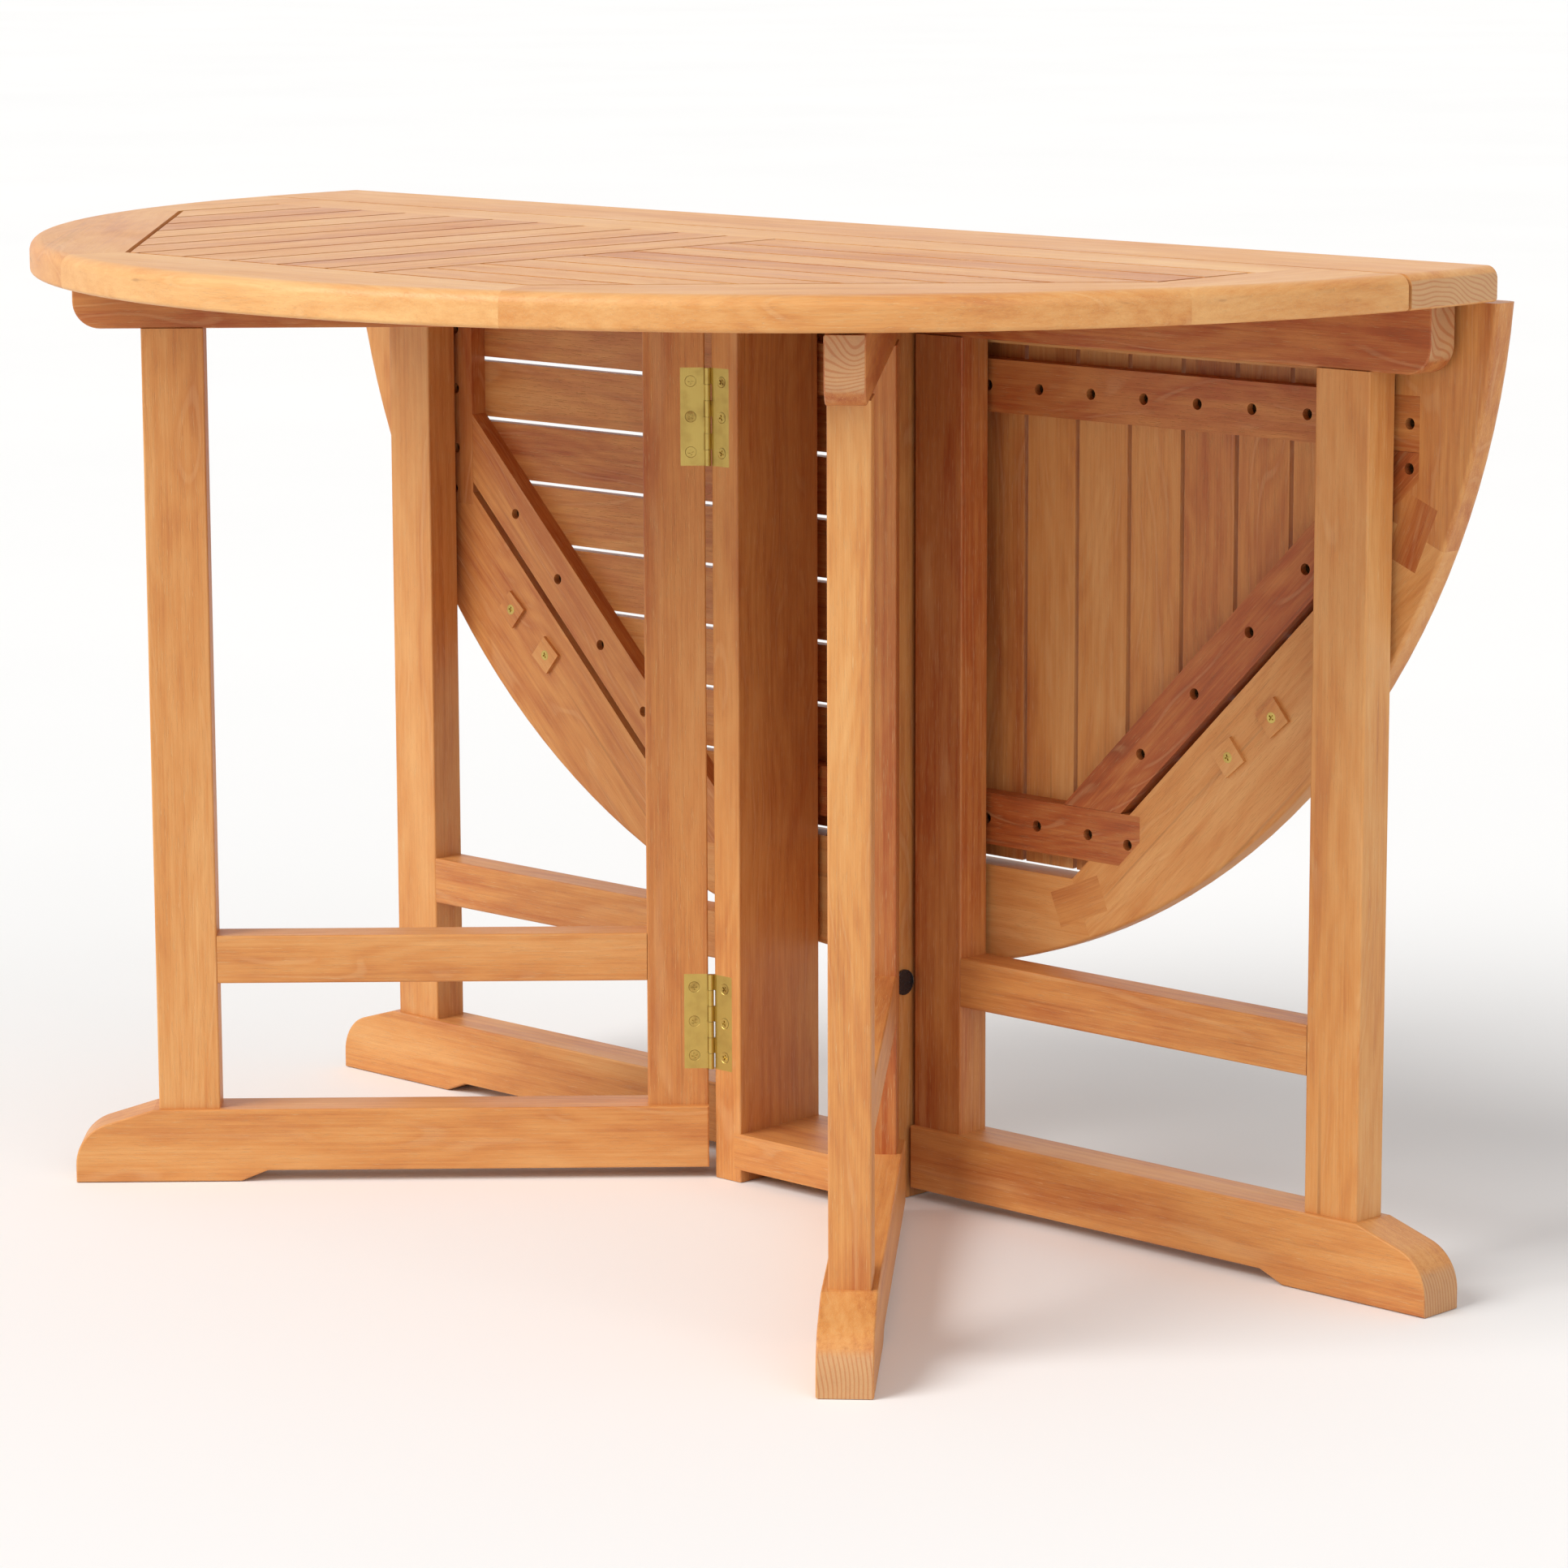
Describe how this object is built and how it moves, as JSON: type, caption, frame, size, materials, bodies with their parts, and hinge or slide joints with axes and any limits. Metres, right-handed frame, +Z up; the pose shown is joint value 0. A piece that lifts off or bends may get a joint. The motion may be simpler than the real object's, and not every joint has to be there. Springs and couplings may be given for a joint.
{
  "type": "gateleg table",
  "caption": "Round folding wooden gateleg table on a central column, one slatted half-round leaf raised on open gates and the other hanging.",
  "frame": {"origin": "on the floor, under the middle of the table's bounding box as it stands with one leaf raised and one hanging", "axes": "+X along the centre strip and hinge lines, +Y from the raised leaf towards the hanging leaf, +Z up"},
  "size_m": [1.1998, 0.675, 0.75],
  "materials": {
    "teak_top": "satin",
    "teak_slats": "satin",
    "teak_battens": "satin",
    "teak_column": "satin",
    "teak_gates": "satin",
    "brass": "satin",
    "brass_screws": "satin",
    "badge": "gloss"
  },
  "bodies": {
    "column": {"left_upright": "teak_column", "right_upright": "teak_column", "bottom_shelf": "teak_column", "column_head": "teak_column", "plain_badge": "badge", "center_strip": "teak_top", "upright_hinge_plates": "brass", "strip_hinge_plates": "brass", "hinge_pins": "brass", "column_screws": "brass_screws"},
    "front_left_gate": {"front_left_hinge_stile": "teak_gates", "front_left_outer_leg": "teak_gates", "front_left_middle_rail": "teak_gates", "front_left_top_rail": "teak_gates", "front_left_foot_rail": "teak_gates", "front_left_hinge_plates": "brass", "front_left_hinge_screws": "brass_screws"},
    "front_right_gate": {"front_right_hinge_stile": "teak_gates", "front_right_outer_leg": "teak_gates", "front_right_middle_rail": "teak_gates", "front_right_top_rail": "teak_gates", "front_right_foot_rail": "teak_gates", "front_right_hinge_plates": "brass", "front_right_hinge_screws": "brass_screws"},
    "back_right_gate": {"back_right_hinge_stile": "teak_gates", "back_right_outer_leg": "teak_gates", "back_right_middle_rail": "teak_gates", "back_right_top_rail": "teak_gates", "back_right_foot_rail": "teak_gates", "back_right_hinge_plates": "brass", "back_right_hinge_screws": "brass_screws"},
    "back_left_gate": {"back_left_hinge_stile": "teak_gates", "back_left_outer_leg": "teak_gates", "back_left_middle_rail": "teak_gates", "back_left_top_rail": "teak_gates", "back_left_foot_rail": "teak_gates", "back_left_hinge_plates": "brass", "back_left_hinge_screws": "brass_screws"},
    "front_leaf": {"front_leaf_rim_ends": "teak_top", "front_leaf_rim_corners": "teak_top", "front_leaf_rim_front": "teak_top", "front_leaf_hinge_rail": "teak_top", "front_leaf_long_slats": "teak_slats", "front_leaf_cross_slats": "teak_slats", "front_leaf_battens": "teak_battens", "front_leaf_rim_keys": "teak_battens", "front_leaf_stop_blocks": "teak_battens", "front_leaf_hinge_plates": "brass", "front_leaf_screws": "brass_screws"},
    "back_leaf": {"back_leaf_rim_ends": "teak_top", "back_leaf_rim_corners": "teak_top", "back_leaf_rim_front": "teak_top", "back_leaf_hinge_rail": "teak_top", "back_leaf_long_slats": "teak_slats", "back_leaf_cross_slats": "teak_slats", "back_leaf_battens": "teak_battens", "back_leaf_rim_keys": "teak_battens", "back_leaf_stop_blocks": "teak_battens", "back_leaf_hinge_plates": "brass", "back_leaf_screws": "brass_screws"}
  },
  "joints": [
    {"name": "front_right_gate_swing", "type": "hinge", "parent": "column", "child": "front_right_gate", "pos_m": [0.079, 0.2155, 0], "axis": [0, 0, 1], "range_deg": [0, 49.8]},
    {"name": "front_left_gate_swing", "type": "hinge", "parent": "column", "child": "front_left_gate", "pos_m": [-0.079, 0.2155, 0], "axis": [0, 0, -1], "range_deg": [-4.8, 45]},
    {"name": "back_right_gate_swing", "type": "hinge", "parent": "column", "child": "back_right_gate", "pos_m": [0.079, 0.3095, 0], "axis": [0, 0, 1], "range_deg": [0, 0.5]},
    {"name": "back_left_gate_swing", "type": "hinge", "parent": "column", "child": "back_left_gate", "pos_m": [-0.079, 0.3095, 0], "axis": [0, 0, -1], "range_deg": [0, 0.5]},
    {"name": "front_leaf_fold", "type": "hinge", "parent": "column", "child": "front_leaf", "pos_m": [0, 0.2125, 0.725], "axis": [-1, 0, 0], "range_deg": [0, 5]},
    {"name": "back_leaf_fold", "type": "hinge", "parent": "column", "child": "back_leaf", "pos_m": [0, 0.3125, 0.725], "axis": [1, 0, 0], "range_deg": [0, 90]}
  ]
}
